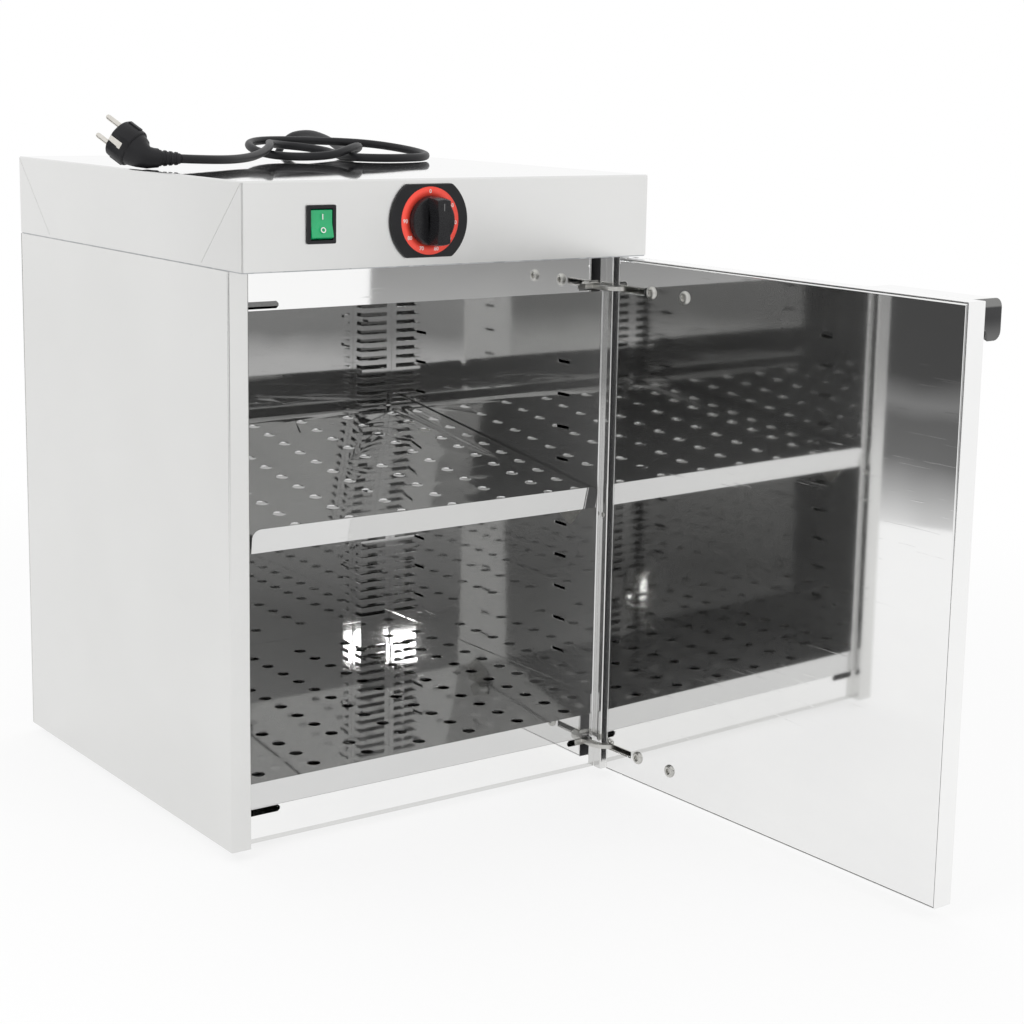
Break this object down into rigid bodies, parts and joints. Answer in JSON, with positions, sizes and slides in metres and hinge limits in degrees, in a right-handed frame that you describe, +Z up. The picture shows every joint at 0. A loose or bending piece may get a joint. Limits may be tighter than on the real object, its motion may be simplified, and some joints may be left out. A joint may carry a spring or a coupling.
{
  "type": "plate warmer cabinet",
  "caption": "Free-standing heated cabinet for plates: hinged door with pull handle, perforated shelf, thermostat knob and rocker switch on a hood, and a coiled mains lead with plug.",
  "frame": {"origin": "middle of the cabinet's footprint on the plane that its feet stand on", "axes": "+X to the right for someone who faces the door side, +Y to the back, +Z up; the door is open at rest"},
  "size_m": [0.4845, 0.9682, 0.6243],
  "materials": {
    "stainless_outer": "fine brushed stainless steel",
    "stainless_inner": "bright mill-finished stainless steel",
    "galvanised": "zinc-coated sheet",
    "mirror_chrome": "polished",
    "zinc_fittings": "zinc-plated steel",
    "black_plastic": "moulded black plastic",
    "green_rocker": "green lens plastic",
    "ceramic": "unglazed ceramic",
    "element_sheath": "heat-tinted steel sheath",
    "black_rubber": "smooth black rubber",
    "nickel_brass": "nickel-plated brass"
  },
  "bodies": {
    "cabinet": {"side_panel_right": "stainless_outer", "side_panel_left": "stainless_outer", "back_panel": "stainless_outer", "base_pan": "galvanised", "top_rail": "stainless_outer", "bottom_rail": "stainless_outer", "inner_wall_right": "stainless_inner", "inner_wall_left": "stainless_inner", "inner_back": "stainless_inner", "inner_ceiling": "stainless_inner", "floor_plate": "stainless_inner", "air_duct_right": "stainless_inner", "air_duct_left": "stainless_inner", "return_rivets": "zinc_fittings", "shelf_clips": "zinc_fittings", "hood_cover": "stainless_outer", "hood_tray": "galvanised", "hinge_arm_top": "zinc_fittings", "hinge_arm_bottom": "zinc_fittings", "hinge_bracket_top": "zinc_fittings", "hinge_bracket_bottom": "zinc_fittings", "switch_housing": "black_plastic", "dial_plate": "black_plastic", "thermostat_body": "zinc_fittings", "heating_element": "element_sheath", "element_saddles": "galvanised", "terminal_block": "ceramic", "rubber_feet": "black_rubber", "cable_gland": "black_plastic", "gland_nut": "black_plastic", "cord_guard": "black_rubber", "cord_lead": "black_rubber", "cord_coil": "black_rubber", "cord_tail": "black_rubber", "plug_body": "black_rubber", "plug_pins": "nickel_brass", "plug_earth_clips": "nickel_brass"},
    "door": {"door_outer_pan": "stainless_outer", "door_inner_pan": "stainless_outer", "door_hinge_top": "zinc_fittings", "door_hinge_bottom": "zinc_fittings", "hinge_pins": "zinc_fittings", "door_screws": "zinc_fittings", "door_handle": "mirror_chrome"},
    "knob": {"knob": "black_plastic", "thermostat_shaft": "zinc_fittings"},
    "rocker": {"rocker": "green_rocker"},
    "shelf": {"shelf": "stainless_inner"}
  },
  "joints": [
    {"name": "door_swing", "type": "hinge", "parent": "cabinet", "child": "door", "pos_m": [0.202, -0.2303, 0.257], "axis": [0, 0, 1], "range_deg": [-91.7, 9]},
    {"name": "knob_turn", "type": "hinge", "parent": "cabinet", "child": "knob", "pos_m": [-0.031, -0.2414, 0.5425], "axis": [0, 1, 0], "range_deg": [0, 290]},
    {"name": "rocker_tilt", "type": "hinge", "parent": "cabinet", "child": "rocker", "pos_m": [-0.1355, -0.235, 0.542], "axis": [1, 0, 0], "range_deg": [0, 14]},
    {"name": "shelf_lift", "type": "slide", "parent": "cabinet", "child": "shelf", "axis": [0, 0, 1], "range_m": [0, 0.03]}
  ]
}
